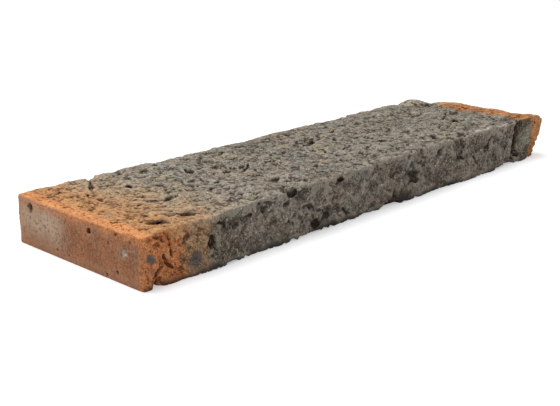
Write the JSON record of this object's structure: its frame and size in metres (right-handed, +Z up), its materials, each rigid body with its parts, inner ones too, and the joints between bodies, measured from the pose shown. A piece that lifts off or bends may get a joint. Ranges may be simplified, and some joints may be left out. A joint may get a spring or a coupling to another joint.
{
  "type": "clay brick",
  "caption": "Long, thin, hand-moulded clay brick with a rough dragged top, a dark kiln-fired crust and orange ends.",
  "frame": {"origin": "middle of the overall box, at the level of the flat bed that the brick lies on", "axes": "+X along the length, from the smooth sanded header to the broken-looking far end; +Y across the width, from the front stretcher face to the back one; +Z up, out of the rough struck face"},
  "size_m": [0.5074, 0.1542, 0.0423],
  "materials": {
    "fired_clay": "rough, pitted and matte, warm grey reduction-fired crust, orange bare clay at both ends"
  },
  "bodies": {
    "root": {"brick": "fired_clay"}
  },
  "joints": []
}
